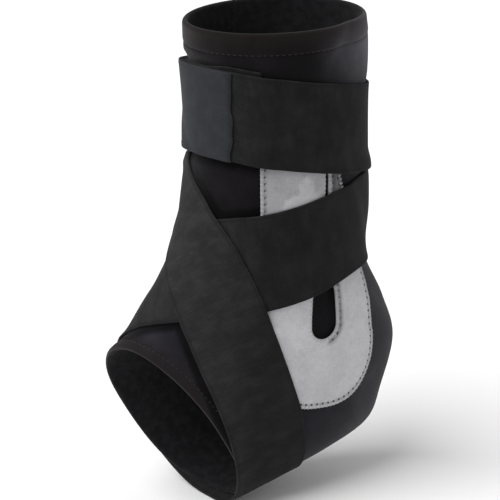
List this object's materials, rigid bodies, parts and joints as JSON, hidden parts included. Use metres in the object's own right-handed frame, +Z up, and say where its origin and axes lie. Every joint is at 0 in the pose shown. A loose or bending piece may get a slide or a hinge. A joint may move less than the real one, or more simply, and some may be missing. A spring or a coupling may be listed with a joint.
{
  "type": "ankle support",
  "caption": "Slip-on ankle support: a foam sleeve with a slotted side panel, two wrapped straps and a leg strap closed by a tab.",
  "frame": {"origin": "foot seat: on the inside of the sole, on the centre line of the leg", "axes": "+Z up the leg, -Y towards the toes, +X to the outer side of the foot, where the panel is"},
  "size_m": [0.0872, 0.1556, 0.2535],
  "materials": {
    "foam_cloth": "fine knit over foam, dull with a soft sheen",
    "brushed_cloth": "brushed light grey, matt",
    "webbing": "ribbed elastic webbing, matt",
    "tab_cloth": "close weave, slate, slightly smooth"
  },
  "bodies": {
    "root": {"sleeve": "foam_cloth", "side_panel": "brushed_cloth", "cross_strap": "webbing", "front_strap": "webbing", "leg_strap": "webbing", "strap_tab": "tab_cloth"}
  },
  "joints": []
}
